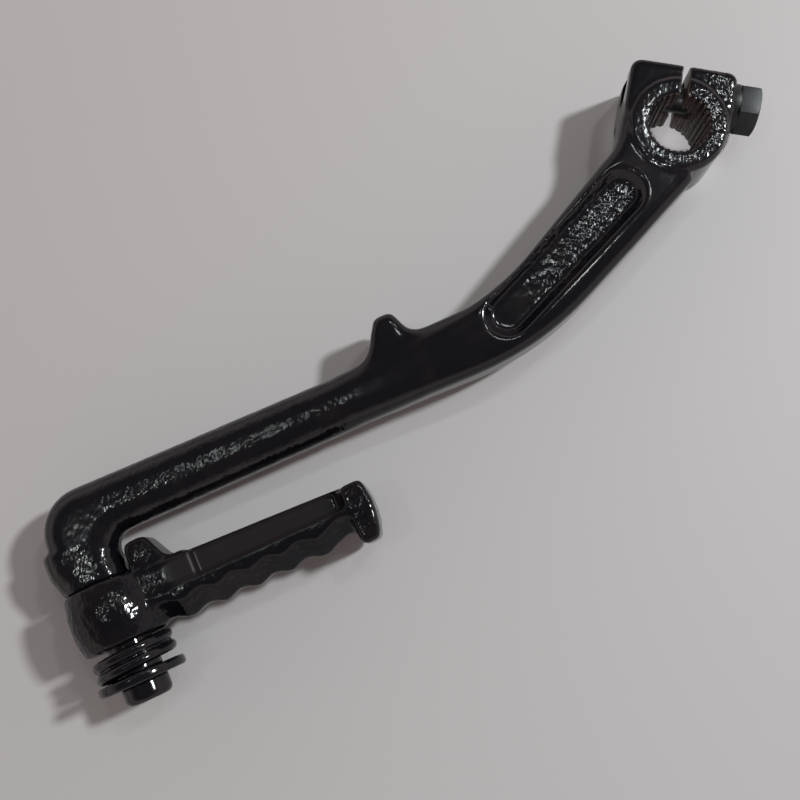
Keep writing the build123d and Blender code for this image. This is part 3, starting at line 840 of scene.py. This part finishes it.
class KICKLEVER_OT_stage(bpy.types.Operator):
    """Set up the floor, the lamps and the camera"""

    bl_idname = "kick_lever.stage"
    bl_label = "Stage"

    def execute(self, context):
        stage = settings().stage
        self.lay_floor(stage)
        self.hang_lamps(stage)
        self.light_bore(stage)
        self.light_room(context.scene, stage)
        self.place_camera(context.scene, stage)
        context.scene.view_settings.view_transform = "Standard"
        return {"FINISHED"}

    def lay_floor(self, stage):
        """Lays the floor, whose colour runs from warmer and darker on the bar's side to lighter and
        cooler on the pedal's side, a painted gradient of light.
        """
        bpy.ops.object.select_all(action="DESELECT")
        bpy.ops.mesh.primitive_plane_add(size=FLOOR_SIZE, location=FLOOR_PLACE)
        floor = bpy.context.object
        floor.name = "floor"
        finish = Finish(bpy.data.materials.new("floor_paint"))
        toward = {0: finish.place(), 1: PAINTED_LIGHT_SIDE}
        painted_light = finish.node("ShaderNodeVectorMath", {"operation": "DOT_PRODUCT"}, toward, "Value")
        floor.data.materials.append(finish.paint(
            base_color=finish.mix(finish.rise(painted_light, PAINTED_LIGHT_SPAN), stage.floor, stage.painted_light_floor),
            roughness=0.55,
            specular_ior_level=0.3,
        ))

    def hang_lamps(self, stage):
        """Hangs the lamp at the side and the strip lamps, which look straight down."""
        side = MIDDLE + WINDOW_SIDE.normalized() * WINDOW_DISTANCE
        facing = (side - MIDDLE).to_track_quat("Z", "Y").to_euler()
        self.area_lamp(
            "window_lamp", "DISK", side, facing, WINDOW_SIZES, stage.window, stage.window_tint
        )
        for name, strip in STRIPS.items():
            place = Vector((*strip["place"], STRIP_HEIGHT))
            facing = (0, 0, radians(strip["turn"]))
            sizes = strip["sizes"]
            power = stage.strip * strip["share"] * pi * sizes[0] * sizes[1]
            self.area_lamp(name, "RECTANGLE", place, facing, sizes, power, stage.strip_tint)

    def area_lamp(self, name, shape, place, facing, sizes, power, colour):
        """Adds one area lamp."""
        bpy.ops.object.light_add(type="AREA", location=place)
        lamp = bpy.context.object
        lamp.name = name
        lamp.rotation_euler = facing
        lamp.data.shape = shape
        lamp.data.size, lamp.data.size_y = sizes
        lamp.data.energy = power
        lamp.data.color = colour

    def light_bore(self, stage):
        """Adds the narrow lamp that looks into the bore along the camera's line."""
        place = BORE_PLACE + BORE_LAMP_SIDE.normalized() * BORE_LAMP_DISTANCE
        bpy.ops.object.light_add(type="SPOT", location=place)
        lamp = bpy.context.object
        lamp.name = "bore_lamp"
        lamp.rotation_euler = (place - BORE_PLACE).to_track_quat("Z", "Y").to_euler()
        lamp.data.spot_size = BORE_LAMP_CONE
        lamp.data.spot_blend = BORE_LAMP_BLEND
        lamp.data.shadow_soft_size = BORE_LAMP_RADIUS
        lamp.data.energy = stage.bore

    def light_room(self, scene, stage):
        """Lights the room from all round, with a darker ceiling."""
        scene.world = bpy.data.worlds.new("studio")
        room = Finish(scene.world)
        toward = room.node("ShaderNodeTexCoord", {}, {}, "Generated")
        height = room.node("ShaderNodeSeparateXYZ", {}, {"Vector": toward}, "Z")
        strength = stage.horizon + room.rise(height, CEILING_RISE) * (stage.zenith - stage.horizon)
        sockets = {"Color": (*stage.room, 1.0), "Strength": strength}
        room.close("ShaderNodeBackground", "ShaderNodeOutputWorld", sockets)

    def place_camera(self, scene, stage):
        """Places the camera where the photograph was taken from."""
        turn = tuple(radians(angle) for angle in CAMERA_TURN)
        bpy.ops.object.camera_add(location=CAMERA_PLACE, rotation=turn)
        camera = bpy.context.object
        camera.name = "photo_camera"
        camera.data.lens = stage.lens
        camera.data.sensor_width = SENSOR_WIDTH
        camera.data.clip_start = CLIP_START
        scene.camera = camera


class KICKLEVER_PT_panel(bpy.types.Panel):
    """Buttons for the lever's pieces and its stage"""

    bl_idname = "KICKLEVER_PT_panel"
    bl_label = "Kick Start Lever"
    bl_space_type = "VIEW_3D"
    bl_region_type = "UI"
    bl_category = "Kick Lever"

    def draw(self, context):
        for group in ("forging", "clamp", "paint", "stage"):
            box = self.layout.box()
            values = getattr(settings(), group)
            for name in values.__annotations__:
                box.prop(values, name)
        for operator in OPERATORS:
            self.layout.operator(operator.bl_idname)


GROUPS = (ForgingSettings, ClampSettings, PaintSettings, StageSettings, LeverSettings)
OPERATORS = (
    KICKLEVER_OT_kick_arm,
    KICKLEVER_OT_foot_pedal,
    KICKLEVER_OT_pivot_set,
    KICKLEVER_OT_pinch_bolt,
    KICKLEVER_OT_stage,
)
CLASSES = (*GROUPS, *OPERATORS, KICKLEVER_PT_panel)


def register():
    """Registers the classes and puts the settings on the scene."""
    for item in CLASSES:
        bpy.utils.register_class(item)
    bpy.types.Scene.kick_lever = PointerProperty(type=LeverSettings)


def unregister():
    """Takes the settings off the scene and the classes out."""
    del bpy.types.Scene.kick_lever
    for item in reversed(CLASSES):
        bpy.utils.unregister_class(item)


def main():
    """Makes the pieces and the stage."""
    register()
    bpy.ops.kick_lever.kick_arm()
    bpy.ops.kick_lever.foot_pedal()
    bpy.ops.kick_lever.pivot_set()
    bpy.ops.kick_lever.pinch_bolt()
    bpy.ops.kick_lever.stage()


if __name__ == "__main__":
    main()
